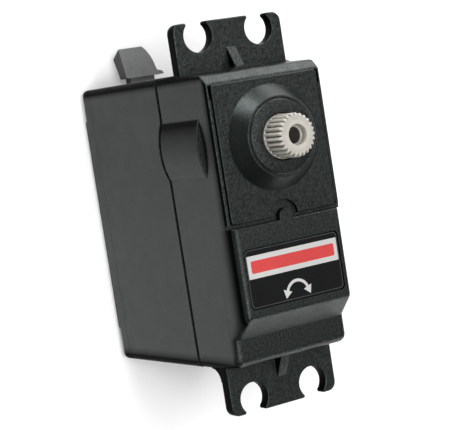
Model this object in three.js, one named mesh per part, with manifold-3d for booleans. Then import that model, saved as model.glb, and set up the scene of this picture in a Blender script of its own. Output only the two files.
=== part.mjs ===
// A standard-size analogue servo: a geared DC motor whose output shaft is held at a set angle.
// Frame: millimetres, +Z along the output shaft, +X along the case away from the output end,
// origin at the middle of the rest panel under the bottom cover.
import * as THREE from "three";
import { mergeVertices } from "three/addons/utils/BufferGeometryUtils.js";
import Module from "manifold-3d";

const wasm = await Module();
wasm.setup();

// Every corner of a piece lies on a grid of this many steps to the millimetre.
const GRID = 1e4;

// Case
const CASE_HALF_X = 20.4;
const CASE_HALF_Y = 9.4;
const CASE_CORNER = 0.9;
const WALL = 1.2;
const INNER_HALF_X = CASE_HALF_X - WALL;
const INNER_HALF_Y = CASE_HALF_Y - WALL;
const PANEL_HALF_X = 16;
const PANEL_HALF_Y = 9;
const COVER_BOTTOM = 1.2;
const COVER_TOP = 3.2;
const SEAM = 23.2;
const SEAM_GAP = 0.1;
const DECK_BOTTOM = 21.6;
const DECK_TOP = SEAM - SEAM_GAP / 2;
const FRONT_HALF_X = 19.9;
const FACE = 35.9;
const ROOF = 34.3;

// Ears and their screw slots
const EAR_BOTTOM = 27.2;
const EAR_TOP = 28.95;
const EAR_HALF_X = 27.2;
const EAR_HALF_Y = 8.9;
const SLOT_PITCH_X = 50.5;
const SLOT_PITCH_Y = 10;
const SLOT_RADIUS = 2.23;
const SLOT_MOUTH = 3.2;

// Relief on the front face
const PLATE_END = 0.45;
const FRAME_START = 1.05;
const FRAME_END = 13.3;
const FRAME_HALF_Y = 8.45;
const FRAME_TOP = 36.3;
const GROOVE_FLOOR = 35.5;
const LAND = 33;
const LABEL_START = 3.95;
const LABEL_END = 12.2;
const LABEL_HALF_Y = 7.9;
const LABEL_FLOOR = 35.95;

// Shafts
const OUTPUT_X = -10.2;
const GEAR_DISTANCE = 10.8;
const PIN_X = OUTPUT_X + GEAR_DISTANCE;
const BULGE_RADIUS = 10.25;
const BULGE_TOP = 32.7;
const GEAR_ROOM = 9.15;
const PIN_RADIUS = 0.8;
const RUNNING = 0.05;

// Boss and output spline
const BOSS_BASE = 7.2;
const BOSS_TOP_RADIUS = 5.4;
const BOSS_TOP = 38.2;
const SHAFT_RADIUS = 3;
const SPLINE_TEETH = 25;
const SPLINE_TOP = 41.7;

// Gear train. Shift is the part of a pitch that the first tooth stands off +X: every pinion has a tooth,
// and every wheel a gap, on the line through the three shafts.
const PINION = { teeth: 12, module: 0.3, shift: 0, z: [24.0, 26.4] };
const FIRST_WHEEL = { teeth: 50, module: 0.3, shift: 0.5, z: [24.2, 25.4] };
const FIRST_PINION = { teeth: 12, module: 0.4, shift: 0, z: [25.4, 27.2] };
const SECOND_WHEEL = { teeth: 42, module: 0.4, shift: 0.5, z: [25.8, 27.0] };
const SECOND_PINION = { teeth: 16, module: 0.4, shift: 0, z: [27.0, 28.9] };
const THIRD_WHEEL = { teeth: 38, module: 0.4, shift: 0.5, z: [27.5, 28.7] };
const THIRD_PINION = { teeth: 12, module: 0.4, shift: 0, z: [28.7, 31.8] };
const OUTPUT_WHEEL = { teeth: 42, module: 0.4, shift: 0.5, z: [29.3, 31.8] };
const PRESSURE_ANGLE = THREE.MathUtils.degToRad(25);
const ADDENDUM = 0.9;
const DEDENDUM = 1.2;
const TOOTH_THINNING = 0.05;
const MOTOR_DISTANCE = ((PINION.teeth + FIRST_WHEEL.teeth) * PINION.module) / 2;
const MOTOR_X = PIN_X + MOTOR_DISTANCE;
const STEM_RADIUS = 2;

// Case screws
const SCREW_X = 17.9;
const SCREW_Y = 7;
const SCREW_RADIUS = 0.85;
const SCREW_CLEARANCE = 0.1;
const SCREW_HEAD = 1.5;
const SCREW_HEAD_Z = [1.4, 2.4];
const SCREW_TOP = 27;
const POST_RADIUS = 1.7;
const UPPER_POST_RADIUS = 1.5;

// Motor
const CAN_RADIUS = 7.8;
const CAN_FLAT = 7.2;
const CAN_WALL = 0.7;
const CAN_Z = [8.4, 21.5];
const PILOT_RADIUS = 3;
const PILOT_TOP = 22.6;
const CAP_BOTTOM = 7;
const ROTOR_SHAFT = 1;
const ROTOR_RADIUS = 5.3;
const ROTOR_Z = [11.6, 18.8];
const MOTOR_SCREW_Y = 4.6;

// Electronics and strain relief
const BOARD_Z = [4.25, 5.25];
const POT_RADIUS = 6;
const POT_Z = [15.3, 21.55];
const BOOT_Y = [-3.5, 2];

// A manifold solid made of a closed three.js geometry, snapped to a grid so that faces meant to meet do.
function solid(geometry) {
  const source = geometry.index ? geometry.toNonIndexed() : geometry;
  const snapped = source.getAttribute("position").array.map((value) => Math.round(value * GRID) / GRID);
  const bare = new THREE.BufferGeometry();
  bare.setAttribute("position", new THREE.BufferAttribute(snapped, 3));
  const merged = mergeVertices(bare, 1e-4);
  const triangles = [];
  for (let i = 0; i < merged.index.count; i += 3) {
    const [a, b, c] = merged.index.array.slice(i, i + 3);
    if (a !== b && b !== c && c !== a) triangles.push(a, b, c);
  }
  return new wasm.Manifold(
    new wasm.Mesh({
      numProp: 3,
      vertProperties: merged.attributes.position.array,
      triVerts: new Uint32Array(triangles),
    }),
  );
}

function join(...solids) {
  return solids.reduce((whole, piece) => whole.add(piece));
}

function cut(whole, ...tools) {
  return tools.reduce((left, tool) => left.subtract(tool), whole);
}

function box(x, y, z) {
  const geometry = new THREE.BoxGeometry(x[1] - x[0], y[1] - y[0], z[1] - z[0]);
  geometry.translate((x[0] + x[1]) / 2, (y[0] + y[1]) / 2, (z[0] + z[1]) / 2);
  return solid(geometry);
}

function cone(radii, z, sides = 32, x = 0, y = 0) {
  const geometry = new THREE.CylinderGeometry(radii[1], radii[0], z[1] - z[0], sides);
  geometry.rotateX(Math.PI / 2).translate(x, y, (z[0] + z[1]) / 2);
  return solid(geometry);
}

function rod(radius, z, sides = 24, x = 0, y = 0) {
  return cone([radius, radius], z, sides, x, y);
}

// An outline in XY, raised from z[0] to z[1].
function slab(shape, z, curveSegments = 3) {
  const options = { depth: z[1] - z[0], bevelEnabled: false, curveSegments };
  return solid(new THREE.ExtrudeGeometry(shape, options).translate(0, 0, z[0]));
}

// An outline in XZ, drawn out from y[0] to y[1].
function slice(shape, y, curveSegments = 3) {
  const options = { depth: y[1] - y[0], bevelEnabled: false, curveSegments };
  const geometry = new THREE.ExtrudeGeometry(shape, options);
  return solid(geometry.rotateX(Math.PI / 2).translate(0, y[1], 0));
}

function polygon(points) {
  return new THREE.Shape(points.map(([x, y]) => new THREE.Vector2(x, y)));
}

function roundedRectangle(x, y, radius) {
  const shape = new THREE.Shape();
  const quarter = Math.PI / 2;
  shape.absarc(x[1] - radius, y[1] - radius, radius, 0, quarter);
  shape.absarc(x[0] + radius, y[1] - radius, radius, quarter, 2 * quarter);
  shape.absarc(x[0] + radius, y[0] + radius, radius, 2 * quarter, 3 * quarter);
  shape.absarc(x[1] - radius, y[0] + radius, radius, 3 * quarter, 4 * quarter);
  return shape;
}

function centredRectangle(halfX, halfY, radius) {
  return roundedRectangle([-halfX, halfX], [-halfY, halfY], radius);
}

// The four combinations of plus and minus, for whatever sits in all four corners.
const CORNERS = [
  [-1, -1],
  [-1, 1],
  [1, -1],
  [1, 1],
];

function atCorners(makePiece) {
  return CORNERS.map(([x, y]) => makePiece(x * SCREW_X, y * SCREW_Y));
}

const finishes = {
  casePlastic: { color: 0x1c1e1d, roughness: 0.55, metalness: 0 },
  rubber: { color: 0x2a2c2b, roughness: 0.8, metalness: 0 },
  label: { color: 0x0c0c0d, roughness: 0.25, metalness: 0 },
  whitePlastic: { color: 0xe2dcd2, roughness: 0.45, metalness: 0 },
  steel: { color: 0xb8bcc0, roughness: 0.35, metalness: 1 },
  brass: { color: 0xc6a24c, roughness: 0.35, metalness: 1 },
  copper: { color: 0xb5683a, roughness: 0.4, metalness: 1 },
  laminations: { color: 0x6d7074, roughness: 0.5, metalness: 1 },
  ferrite: { color: 0x3b3a3c, roughness: 0.8, metalness: 0 },
  board: { color: 0x1f5a34, roughness: 0.5, metalness: 0 },
  chip: { color: 0x161616, roughness: 0.5, metalness: 0 },
  redWire: { color: 0xa3241c, roughness: 0.6, metalness: 0 },
};

const servo = new THREE.Group();

// A named mesh of a solid, put in a group at a place.
function node(name, finish, body, place = [0, 0, 0], group = servo) {
  const cutMesh = body.getMesh();
  const geometry = new THREE.BufferGeometry();
  const position = new THREE.BufferAttribute(new Float32Array(cutMesh.vertProperties), 3);
  geometry.setAttribute("position", position);
  geometry.setIndex(new THREE.BufferAttribute(cutMesh.triVerts, 1));
  geometry.computeVertexNormals();
  const mesh = new THREE.Mesh(geometry, new THREE.MeshStandardMaterial(finishes[finish]));
  mesh.name = name;
  mesh.position.set(...place);
  group.add(mesh);
  return mesh;
}

// ---- Case ----

// Clearance bulge around the output gear: on both sides of the case, and a sliver at its end above the ear.
function bulge(z, foot) {
  const room = box([OUTPUT_X - 4.1, OUTPUT_X + 4.1], [-11, 11], [z[0] - foot, z[1]]);
  const body = rod(BULGE_RADIUS, z, 96, OUTPUT_X);
  const end = box([-21, -19], [-3.4, 3.4], [EAR_TOP - 0.5, z[1]]);
  if (!foot) return body.intersect(join(room, end));
  const slope = cone([CASE_HALF_Y - 0.1, BULGE_RADIUS], [z[0] - foot, z[0]], 96, OUTPUT_X);
  return body.add(slope).intersect(room);
}

function screwHoles(radius, z) {
  return atCorners((x, y) => rod(radius, z, 12, x, y));
}

function bottomCover() {
  const plate = slab(
    centredRectangle(CASE_HALF_X, CASE_HALF_Y, CASE_CORNER),
    [COVER_BOTTOM, COVER_TOP],
  );
  const panel = slab(centredRectangle(PANEL_HALF_X, PANEL_HALF_Y, 0.6), [0, COVER_BOTTOM + 0.4]);
  const spigot = box([-15.4, 15.4], [-INNER_HALF_Y + 0.1, INNER_HALF_Y - 0.1], [COVER_TOP - 0.2, 4.2]);
  const hollow = box([-14.2, 14.2], [-6.9, 6.9], [1.6, 4.4]);
  return cut(
    join(plate, panel, spigot),
    hollow,
    ...screwHoles(SCREW_RADIUS + SCREW_CLEARANCE, [0, 5]),
    ...screwHoles(SCREW_HEAD + 0.2, [0, SCREW_HEAD_Z[1] + RUNNING]),
  );
}

function lowerCase() {
  const outer = slab(centredRectangle(CASE_HALF_X, CASE_HALF_Y, CASE_CORNER), [COVER_TOP, DECK_TOP]);
  const posts = atCorners((x, y) => rod(POST_RADIUS, [0, SEAM], 16, x, y));
  const partition = box([0.1, 1.1], [-CASE_HALF_Y, CASE_HALF_Y], [8, SEAM]);
  const hollow = cut(
    box([-INNER_HALF_X, INNER_HALF_X], [-INNER_HALF_Y, INNER_HALF_Y], [0, DECK_BOTTOM]),
    ...posts,
    partition,
  );
  const motorHole = rod(PILOT_RADIUS + 0.1, [20, 24], 24, MOTOR_X);
  const potHole = rod(3.5, [20, 24], 24, OUTPUT_X);
  const pinHole = rod(PIN_RADIUS + RUNNING, [SEAM - 1.3, 24], 12, PIN_X);
  const motorScrews = [-MOTOR_SCREW_Y, MOTOR_SCREW_Y].map((y) => rod(0.95, [20, 24], 12, MOTOR_X, y));
  const bootNotch = box([-21, -18], [BOOT_Y[0] + 0.6, BOOT_Y[1] - 0.5], [0, 4.85]);
  return cut(
    join(outer, bulge([22, DECK_TOP], 1.1)),
    hollow,
    motorHole,
    potHole,
    pinHole,
    bootNotch,
    ...motorScrews,
    ...screwHoles(SCREW_RADIUS + SCREW_CLEARANCE, [0, 25]),
  );
}

// Side outline of the upper case: step above the ears, bevelled output end, chamfer to the low land.
function upperProfile() {
  const shape = new THREE.Shape();
  const floor = SEAM + SEAM_GAP / 2;
  shape.moveTo(-CASE_HALF_X, floor);
  shape.lineTo(CASE_HALF_X, floor);
  shape.lineTo(CASE_HALF_X, EAR_TOP);
  shape.lineTo(FRONT_HALF_X, EAR_TOP + 0.2);
  shape.lineTo(FRONT_HALF_X - 0.1, LAND - 0.9);
  shape.absarc(FRONT_HALF_X - 1, LAND - 0.9, 0.9, 0, Math.PI / 2);
  shape.lineTo(16.6, LAND);
  shape.lineTo(15.9, LAND + 0.35);
  shape.lineTo(FRAME_END + 0.35, FACE);
  shape.lineTo(-18.6, FACE);
  shape.lineTo(-19.8, FACE - 1.7);
  shape.lineTo(-FRONT_HALF_X - 0.1, EAR_TOP + 0.2);
  shape.lineTo(-CASE_HALF_X, EAR_TOP);
  return shape;
}

// Cross-section of the upper case: small radii along the two long front edges.
function upperSection() {
  const radius = 0.6;
  return roundedRectangle([-CASE_HALF_Y, CASE_HALF_Y], [0, FRAME_TOP + radius * 2], radius);
}

function ears() {
  const plan = slab(centredRectangle(EAR_HALF_X, EAR_HALF_Y, 1.3), [EAR_BOTTOM, EAR_TOP]);
  const tools = [];
  for (const [x, y] of CORNERS) {
    const centre = [(x * SLOT_PITCH_X) / 2, (y * SLOT_PITCH_Y) / 2];
    const reach = [centre[0], x * (EAR_HALF_X + 1)].sort((a, b) => a - b);
    const mouth = [centre[1] - SLOT_MOUTH / 2, centre[1] + SLOT_MOUTH / 2];
    tools.push(rod(SLOT_RADIUS, [EAR_BOTTOM - 1, EAR_TOP + 1], 28, ...centre));
    tools.push(box(reach, mouth, [EAR_BOTTOM - 1, EAR_TOP + 1]));
  }
  return cut(plan, ...tools);
}

// Stiffening rib on each ear, and the round fillet under the ear at the label end.
function earRibs() {
  const rib = (side) =>
    slice(
      polygon([
        [side * 19, EAR_TOP - 0.3],
        [side * 23.2, EAR_TOP - 0.3],
        [side * 23.2, EAR_TOP],
        [side * 19, EAR_TOP + 2.3],
      ]),
      [-0.78, 0.78],
    );
  const fillet = new THREE.Shape();
  const radius = 1.9;
  fillet.moveTo(CASE_HALF_X - 0.4, EAR_BOTTOM - radius);
  fillet.lineTo(CASE_HALF_X, EAR_BOTTOM - radius);
  fillet.absarc(CASE_HALF_X + radius, EAR_BOTTOM - radius, radius, Math.PI, Math.PI / 2, true);
  fillet.lineTo(CASE_HALF_X + radius, EAR_BOTTOM + 0.3);
  fillet.lineTo(CASE_HALF_X - 0.4, EAR_BOTTOM + 0.3);
  const web = slice(fillet, [-EAR_HALF_Y, EAR_HALF_Y]);
  return [rib(-1), rib(1), web];
}

// The raised label frame with the tongue that covers the end of the gear pin.
function labelFrame() {
  const z = [FACE - 0.5, FRAME_TOP];
  const frame = slab(roundedRectangle([FRAME_START, FRAME_END], [-FRAME_HALF_Y, FRAME_HALF_Y], 0.5), z);
  const tongue = join(rod(1.15, z, 24, PIN_X), box([PIN_X, FRAME_START + 0.5], [-1.15, 1.15], z));
  const recess = slab(
    roundedRectangle([LABEL_START, LABEL_END], [-LABEL_HALF_Y, LABEL_HALF_Y], 0.8),
    [LABEL_FLOOR, FRAME_TOP + 1],
  );
  return { body: join(frame, tongue), recess };
}

// Grooves that outline the plate around the boss.
function faceGrooves() {
  const z = [GROOVE_FLOOR, FACE + 1];
  const edge = 8.7;
  const width = 0.2;
  const start = -18.35;
  const crossing = box([PLATE_END, FRAME_START + 0.01], [-edge - width, edge + width], z);
  const pocket = rod(2.25, z, 28, PIN_X);
  const sides = [-1, 1].map((side) => {
    const y = [side * edge, side * (edge + width)].sort((a, b) => a - b);
    return box([start, PLATE_END + 0.1], y, z);
  });
  const end = box([start - width, start], [-edge - width, edge + width], z);
  return [crossing, pocket, end, ...sides];
}

function gearCavity() {
  const profile = polygon([
    [-18.7, SEAM - 1],
    [18.6, SEAM - 1],
    [18.6, LAND - 1.4],
    [15.3, LAND - 1.4],
    [12.6, ROOF],
    [-18.4, ROOF],
  ]);
  const room = slice(profile, [-INNER_HALF_Y, INNER_HALF_Y]);
  const gearRoom = rod(GEAR_ROOM, [SEAM - 1, 32.1], 48, OUTPUT_X);
  const posts = atCorners((x, y) => rod(UPPER_POST_RADIUS, [SEAM - 2, SCREW_TOP + 1.4], 16, x, y));
  const bosses = [
    rod(1.9, [32.2, ROOF + 1], 16, PIN_X),
    rod(5.6, [33.4, ROOF + 1], 24, OUTPUT_X),
  ];
  return cut(join(room, gearRoom), ...posts, ...bosses);
}

function upperCase() {
  const section = slab(upperSection(), [0, 2 * EAR_HALF_X]);
  const lengthwise = section.rotate([90, 0, 90]).translate([-EAR_HALF_X, 0, FACE - FRAME_TOP - 1.2]);
  const plan = slab(centredRectangle(CASE_HALF_X, CASE_HALF_Y, CASE_CORNER), [SEAM, FRAME_TOP]);
  const block = slice(upperProfile(), [-CASE_HALF_Y, CASE_HALF_Y]).intersect(plan).intersect(lengthwise);
  const frame = labelFrame();
  const boss = cone([BOSS_BASE, BOSS_TOP_RADIUS], [FACE - 0.3, BOSS_TOP], 48, OUTPUT_X);
  const shell = cut(
    join(block, ears(), ...earRibs(), bulge([SEAM + SEAM_GAP / 2, BULGE_TOP], 0)),
    ...faceGrooves(),
  );
  const ringGroove = cut(
    rod(5.1, [BOSS_TOP - 0.15, BOSS_TOP + 1], 48, OUTPUT_X),
    rod(4.9, [BOSS_TOP - 1, BOSS_TOP + 2], 48, OUTPUT_X),
  );
  return cut(
    join(shell, frame.body, boss),
    frame.recess,
    gearCavity(),
    ringGroove,
    rod(4.25, [30, 37.5], 32, OUTPUT_X),
    rod(SHAFT_RADIUS + 0.15, [37, 40], 32, OUTPUT_X),
    rod(PIN_RADIUS + RUNNING, [30, 34.9], 12, PIN_X),
    ...screwHoles(SCREW_RADIUS + SCREW_CLEARANCE, [SEAM - 1, SCREW_TOP + 0.4]),
  );
}

function caseScrew() {
  const head = rod(SCREW_HEAD, SCREW_HEAD_Z, 16);
  const shank = rod(SCREW_RADIUS, [SCREW_HEAD_Z[1] - 0.1, SCREW_TOP], 10);
  const depth = [SCREW_HEAD_Z[0] - 1, SCREW_HEAD_Z[0] + 0.5];
  const cross = [box([-0.9, 0.9], [-0.18, 0.18], depth), box([-0.18, 0.18], [-0.9, 0.9], depth)];
  return cut(join(head, shank), ...cross);
}

function labelPlate() {
  const edge = 0.08;
  const shape = roundedRectangle(
    [LABEL_START + edge, LABEL_END - edge],
    [-LABEL_HALF_Y + edge, LABEL_HALF_Y - edge],
    0.75,
  );
  return slab(shape, [LABEL_FLOOR + 0.05, LABEL_FLOOR + 0.22]);
}

function cableBoot() {
  const [low, high] = BOOT_Y;
  const outline = new THREE.Shape();
  outline.moveTo(-21.2, low);
  outline.lineTo(-21.2, high + 1.05);
  outline.lineTo(-21.55, high + 1);
  outline.lineTo(-21.9, high);
  outline.quadraticCurveTo(-24.3, high - 0.1, -25.75, high - 1.45);
  outline.lineTo(-25.75, low);
  const side = polygon([
    [-21.2, 2.95],
    [-24.35, 1.65],
    [-25.75, 3.7],
    [-21.2, 4.97],
  ]);
  const tab = slab(outline, [1, 6]).intersect(slice(side, [low - 1, high + 2]));
  const neck = box([-21.5, -18.6], [low + 0.7, high - 0.6], [3.3, 4.75]);
  const flange = box([-19.1, -18.3], [low, high], [4.35, 6]);
  return join(tab, neck, flange);
}

// ---- Gear train ----

function involute(angle) {
  return Math.tan(angle) - angle;
}

// Half the angle that a tooth spans at a radius.
function halfTooth(radius, pitch, teeth) {
  const base = pitch * Math.cos(PRESSURE_ANGLE);
  const roll = radius > base ? Math.acos(base / radius) : 0;
  const atPitch = Math.PI / (2 * teeth) - TOOTH_THINNING / pitch;
  return atPitch + involute(PRESSURE_ANGLE) - involute(roll);
}

function gearWheel({ teeth, module, shift, z }) {
  const pitch = (teeth * module) / 2;
  const radii = [pitch - DEDENDUM * module, pitch + ADDENDUM * module];
  if (teeth < 20) radii.splice(1, 0, pitch);
  const points = [];
  for (let tooth = 0; tooth < teeth; tooth++) {
    const middle = ((tooth + shift) * 2 * Math.PI) / teeth;
    const rising = radii.map((r) => [r, middle - halfTooth(r, pitch, teeth)]);
    const falling = radii.map((r) => [r, middle + halfTooth(r, pitch, teeth)]).reverse();
    for (const [r, a] of [...rising, ...falling]) points.push([r * Math.cos(a), r * Math.sin(a)]);
  }
  return slab(polygon(points), z);
}

function spline() {
  const points = [];
  const steps = [
    [SHAFT_RADIUS - 0.38, -0.42],
    [SHAFT_RADIUS - 0.03, -0.16],
    [SHAFT_RADIUS - 0.03, 0.16],
    [SHAFT_RADIUS - 0.38, 0.42],
  ];
  for (let tooth = 0; tooth < SPLINE_TEETH; tooth++) {
    for (const [radius, share] of steps) {
      const angle = ((tooth + share) * 2 * Math.PI) / SPLINE_TEETH;
      points.push([radius * Math.cos(angle), radius * Math.sin(angle)]);
    }
  }
  return slab(polygon(points), [BOSS_TOP - 0.2, SPLINE_TOP]);
}

function outputGear() {
  const body = join(
    gearWheel(OUTPUT_WHEEL),
    rod(4.6, [OUTPUT_WHEEL.z[1] - 0.1, 33.1], 20),
    rod(SHAFT_RADIUS, [33, BOSS_TOP - 0.1], 32),
    rod(STEM_RADIUS, [23.9, OUTPUT_WHEEL.z[0] + 0.1], 20),
    spline(),
  );
  return cut(
    body,
    rod(ROTOR_SHAFT + RUNNING, [23, 27.2], 12),
    rod(1.1, [36, SPLINE_TOP + 1], 16),
    rod(1.42, [SPLINE_TOP - 0.9, SPLINE_TOP + 1], 24),
  );
}

function compoundGear(wheel, pinion, bore, hub) {
  const body = join(gearWheel(wheel), gearWheel(pinion), ...hub);
  return cut(body, rod(bore + RUNNING, [20, 36], 16));
}

// ---- Motor ----

function flattened(radius, flat, z) {
  return rod(radius, z, 36).intersect(box([-20, 20], [-flat, flat], [z[0] - 1, z[1] + 1]));
}

function motorCan() {
  const outer = join(flattened(CAN_RADIUS, CAN_FLAT, CAN_Z), rod(PILOT_RADIUS, [CAN_Z[1] - 0.1, PILOT_TOP], 20));
  const inside = flattened(CAN_RADIUS - CAN_WALL, CAN_FLAT - CAN_WALL, [CAN_Z[0] - 1, CAN_Z[1] - 0.9]);
  const screws = [-MOTOR_SCREW_Y, MOTOR_SCREW_Y].map((y) => rod(0.95, [20, 22], 12, 0, y));
  return cut(outer, inside, rod(2.05, [19, 24], 16), ...screws);
}

function motorEndCap() {
  const plate = flattened(CAN_RADIUS - 0.1, CAN_FLAT - 0.1, [CAP_BOTTOM, CAN_Z[0] - RUNNING]);
  return cut(plate, rod(ROTOR_SHAFT + RUNNING, [7.3, 9], 12));
}

// Three-pole laminated core.
function rotorCore() {
  const z = ROTOR_Z;
  const poles = [0, 120, 240].map((angle) => {
    const neck = box([1.5, 4.6], [-0.9, 0.9], z);
    const shoe = rod(ROTOR_RADIUS, z, 36).intersect(box([4.2, 6], [-3.4, 3.4], z));
    return join(neck, shoe).rotate([0, 0, angle]);
  });
  return cut(join(rod(2.1, z, 18), ...poles), rod(ROTOR_SHAFT + RUNNING, [0, 30], 12));
}

function rotorCoil(angle) {
  const outer = box([2.35, 4.1], [-1.9, 1.9], [ROTOR_Z[0] - 0.9, ROTOR_Z[1] + 0.9]);
  const window = box([2, 5], [-1, 1], [ROTOR_Z[0] - 0.1, ROTOR_Z[1] + 0.1]);
  return cut(outer, window).rotate([0, 0, angle]);
}

function magnet(side) {
  const z = [10, 20.2];
  const ring = cut(rod(CAN_RADIUS - CAN_WALL - 0.1, z, 36), rod(ROTOR_RADIUS + 0.4, [9, 21], 36));
  return ring.intersect(box([side > 0 ? 3.2 : -8, side > 0 ? 8 : -3.2], [-6, 6], [9, 21]));
}

function addMotor() {
  const motor = new THREE.Group();
  motor.position.x = MOTOR_X;
  const add = (name, finish, body) => node(name, finish, body, [0, 0, 0], motor);
  add("motor_can", "steel", motorCan());
  add("motor_end_cap", "chip", motorEndCap());
  add("motor_bushing", "brass", cut(rod(2, [20.4, PILOT_TOP], 16), rod(ROTOR_SHAFT + RUNNING, [19, 24], 12)));
  add("motor_magnet_a", "ferrite", magnet(-1));
  add("motor_magnet_b", "ferrite", magnet(1));
  add("rotor_shaft", "steel", rod(ROTOR_SHAFT, [7.6, 27], 12));
  add("rotor_core", "laminations", rotorCore());
  [0, 120, 240].forEach((angle, i) => add(`rotor_coil_${i + 1}`, "copper", rotorCoil(angle)));
  add("commutator", "copper", cut(rod(1.9, [8.9, 10.4], 18), rod(ROTOR_SHAFT + RUNNING, [8, 12], 12)));
  [-1, 1].forEach((side, i) => {
    const letter = "ab"[i];
    const reach = (a, b) => [side * a, side * b].sort((p, q) => p - q);
    add(`motor_brush_${letter}`, "copper", box([-1.6, 1.6], reach(2.05, 2.4), [8.45, 10.3]));
    add(`motor_terminal_${letter}`, "brass", box([-0.9, 0.9], reach(5.2, 5.6), [5.6, 6.95]));
    const screw = join(rod(1.5, [23.25, 23.9], 12), rod(0.8, [20.9, 23.3], 8));
    const place = screw.translate([0, side * MOTOR_SCREW_Y, 0]);
    add(`motor_screw_${letter}`, "steel", place);
  });
  const pinion = cut(gearWheel(PINION), rod(ROTOR_SHAFT + RUNNING, [20, 30], 12));
  add("motor_pinion", "brass", pinion);
  servo.add(motor);
}

// ---- Electronics ----

function addPotentiometer() {
  const body = join(rod(POT_RADIUS, POT_Z, 28), rod(3.3, [POT_Z[1] - 0.1, 22.9], 20));
  const bored = cut(body, rod(ROTOR_SHAFT + RUNNING, [16, 24], 12));
  node("potentiometer_body", "board", bored, [OUTPUT_X, 0, 0]);
  node("potentiometer_shaft", "steel", rod(ROTOR_SHAFT, [16.1, 26.9], 12), [OUTPUT_X, 0, 0]);
  [-2.2, 0, 2.2].forEach((y, i) => {
    const path = new THREE.CatmullRomCurve3([
      new THREE.Vector3(OUTPUT_X + 3.5, y, POT_Z[0] - 0.1),
      new THREE.Vector3(OUTPUT_X + 3.6, y, POT_Z[0] - 3),
      new THREE.Vector3(OUTPUT_X + 4.6, y * 1.1, BOARD_Z[1] + 3),
      new THREE.Vector3(OUTPUT_X + 4.6, y * 1.1, BOARD_Z[1] + 0.1),
    ]);
    const section = new THREE.Shape().absarc(0, 0, 0.45, 0, 2 * Math.PI);
    const options = { steps: 6, curveSegments: 3, bevelEnabled: false, extrudePath: path };
    const wire = solid(new THREE.ExtrudeGeometry(section, options));
    node(`potentiometer_wire_${i + 1}`, "redWire", wire);
  });
}

function addBoard() {
  const onBoard = (x, y, height) => box(x, y, [BOARD_Z[1] + 0.05, BOARD_Z[1] + height]);
  node("circuit_board", "board", box([-15.6, 15.6], [-7.4, 7.4], BOARD_Z));
  node("control_chip", "chip", onBoard([-15, -8.6], [-5.6, -1.4], 1.5));
  node("driver_chip_a", "chip", onBoard([-4, -0.6], [-5.4, -2.4], 1.1));
  node("driver_chip_b", "chip", onBoard([-4, -0.6], [2.4, 5.4], 1.1));
  node("capacitor", "steel", rod(1.7, [BOARD_Z[1] + 0.05, 10.4], 20, -13, 4));
}

// ---- Assembly ----

node("bottom_cover", "casePlastic", bottomCover());
node("lower_case", "casePlastic", lowerCase());
node("upper_case", "casePlastic", upperCase());
node("label_plate", "label", labelPlate());
node("cable_boot", "rubber", cableBoot());
const screw = caseScrew();
atCorners((x, y) => [x, y, 0]).forEach((place, i) => {
  node(`case_screw_${i + 1}`, "steel", screw, place);
});
const bushing = cut(rod(4.2, [33.5, 37.4], 32), rod(SHAFT_RADIUS + RUNNING, [30, 40], 32));
node("output_bushing", "brass", bushing, [OUTPUT_X, 0, 0]);
node("gear_pin", "steel", rod(PIN_RADIUS, [22, 34.7], 12), [PIN_X, 0, 0]);

const firstGear = compoundGear(FIRST_WHEEL, FIRST_PINION, PIN_RADIUS, [rod(1.9, [23.4, 24.3], 16)]);
node("first_gear", "whitePlastic", firstGear, [PIN_X, 0, 0]);
const secondGear = compoundGear(SECOND_WHEEL, SECOND_PINION, STEM_RADIUS, [rod(2.9, [24.4, 25.9], 20)]);
node("second_gear", "whitePlastic", secondGear, [OUTPUT_X, 0, 0]);
const thirdGear = compoundGear(THIRD_WHEEL, THIRD_PINION, PIN_RADIUS, []);
node("third_gear", "whitePlastic", thirdGear, [PIN_X, 0, 0]);
node("output_gear", "whitePlastic", outputGear(), [OUTPUT_X, 0, 0]);
addMotor();
addPotentiometer();
addBoard();

export default servo;
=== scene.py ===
"""Looks of a standard-size servo motor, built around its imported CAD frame.

Row frame: +Z along the output shaft, +X from the output end to the label end, origin under the case.
Dimensions below are in millimetres; MM turns them into Blender's metres.
"""

import math

import bmesh
import bpy
from mathutils import Matrix, Vector


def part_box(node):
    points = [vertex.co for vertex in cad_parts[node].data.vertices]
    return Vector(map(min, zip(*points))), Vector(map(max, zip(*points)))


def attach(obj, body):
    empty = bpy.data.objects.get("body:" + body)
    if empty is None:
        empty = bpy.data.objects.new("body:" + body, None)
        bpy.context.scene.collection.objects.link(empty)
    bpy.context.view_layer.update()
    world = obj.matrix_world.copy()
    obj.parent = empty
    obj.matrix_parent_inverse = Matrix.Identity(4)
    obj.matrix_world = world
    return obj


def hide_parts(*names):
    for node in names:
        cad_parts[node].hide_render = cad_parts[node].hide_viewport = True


MM = 0.001
SMOOTH_ANGLE = 35

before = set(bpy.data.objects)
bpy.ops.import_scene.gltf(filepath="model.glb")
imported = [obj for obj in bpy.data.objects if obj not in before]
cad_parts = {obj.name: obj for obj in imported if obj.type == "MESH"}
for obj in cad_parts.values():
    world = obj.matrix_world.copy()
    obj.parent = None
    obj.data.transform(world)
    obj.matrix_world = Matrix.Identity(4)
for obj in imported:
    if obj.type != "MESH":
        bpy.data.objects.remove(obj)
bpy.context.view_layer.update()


def cad(node):
    """A CAD node's lowest and highest corner, in millimetres."""
    low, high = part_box(node)
    return low / MM, high / MM


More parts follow.
